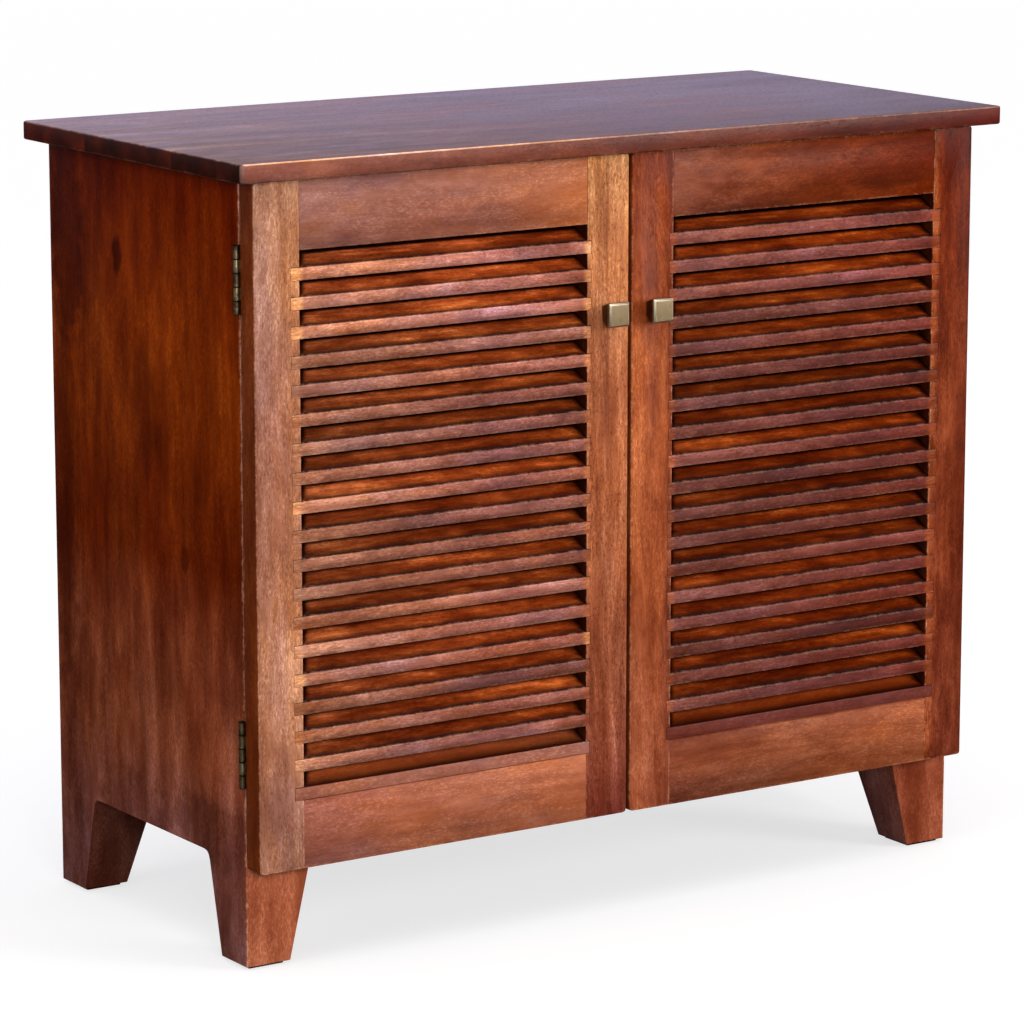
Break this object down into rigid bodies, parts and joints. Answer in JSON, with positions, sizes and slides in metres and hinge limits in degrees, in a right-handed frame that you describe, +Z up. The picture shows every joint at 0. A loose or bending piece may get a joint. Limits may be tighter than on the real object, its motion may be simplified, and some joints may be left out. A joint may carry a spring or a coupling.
{
  "type": "louvred door cabinet",
  "caption": "Low stained-wood cabinet with hinged louvred doors, square brass knobs, an overhanging top and tapered legs.",
  "frame": {"origin": "on the floor, under the middle of the bounding box", "axes": "+X to the right as seen by someone who faces the doors, +Y from the doors to the back, +Z up"},
  "size_m": [0.87, 0.422, 0.76],
  "materials": {
    "top_wood": "satin varnish over a dark red-brown stain",
    "side_wood": "satin varnish over a dark red-brown stain",
    "door_wood": "satin varnish over a red-brown stain",
    "slat_wood": "satin varnish over a red-brown stain",
    "inner_wood": "thin satin varnish over a red-brown stain",
    "hinge_brass": "aged, brushed",
    "knob_brass": "aged, brushed"
  },
  "bodies": {
    "carcass": {"tabletop": "top_wood", "left_side": "side_wood", "right_side": "side_wood", "bottom_board": "inner_wood", "shelf": "inner_wood", "back_panel": "inner_wood", "left_upper_hinge_frame_leaf": "hinge_brass", "left_lower_hinge_frame_leaf": "hinge_brass", "right_upper_hinge_frame_leaf": "hinge_brass", "right_lower_hinge_frame_leaf": "hinge_brass"},
    "left_door": {"left_door_hinge_stile": "door_wood", "left_door_meeting_stile": "door_wood", "left_door_top_rail": "door_wood", "left_door_bottom_rail": "door_wood", "left_door_slat_01": "slat_wood", "left_door_slat_02": "slat_wood", "left_door_slat_03": "slat_wood", "left_door_slat_04": "slat_wood", "left_door_slat_05": "slat_wood", "left_door_slat_06": "slat_wood", "left_door_slat_07": "slat_wood", "left_door_slat_08": "slat_wood", "left_door_slat_09": "slat_wood", "left_door_slat_10": "slat_wood", "left_door_slat_11": "slat_wood", "left_door_slat_12": "slat_wood", "left_door_slat_13": "slat_wood", "left_door_slat_14": "slat_wood", "left_door_slat_15": "slat_wood", "left_door_slat_16": "slat_wood", "left_door_slat_17": "slat_wood", "left_door_slat_18": "slat_wood", "left_upper_hinge_door_leaf": "hinge_brass", "left_lower_hinge_door_leaf": "hinge_brass", "left_knob": "knob_brass"},
    "right_door": {"right_door_hinge_stile": "door_wood", "right_door_meeting_stile": "door_wood", "right_door_top_rail": "door_wood", "right_door_bottom_rail": "door_wood", "right_door_slat_01": "slat_wood", "right_door_slat_02": "slat_wood", "right_door_slat_03": "slat_wood", "right_door_slat_04": "slat_wood", "right_door_slat_05": "slat_wood", "right_door_slat_06": "slat_wood", "right_door_slat_07": "slat_wood", "right_door_slat_08": "slat_wood", "right_door_slat_09": "slat_wood", "right_door_slat_10": "slat_wood", "right_door_slat_11": "slat_wood", "right_door_slat_12": "slat_wood", "right_door_slat_13": "slat_wood", "right_door_slat_14": "slat_wood", "right_door_slat_15": "slat_wood", "right_door_slat_16": "slat_wood", "right_door_slat_17": "slat_wood", "right_door_slat_18": "slat_wood", "right_upper_hinge_door_leaf": "hinge_brass", "right_lower_hinge_door_leaf": "hinge_brass", "right_knob": "knob_brass"}
  },
  "joints": [
    {"name": "left_door_hinges", "type": "hinge", "parent": "carcass", "child": "left_door", "pos_m": [-0.4162, -0.166, 0.429], "axis": [0, 0, -1], "range_deg": [0, 175]},
    {"name": "right_door_hinges", "type": "hinge", "parent": "carcass", "child": "right_door", "pos_m": [0.4162, -0.166, 0.429], "axis": [0, 0, 1], "range_deg": [0, 175]}
  ]
}
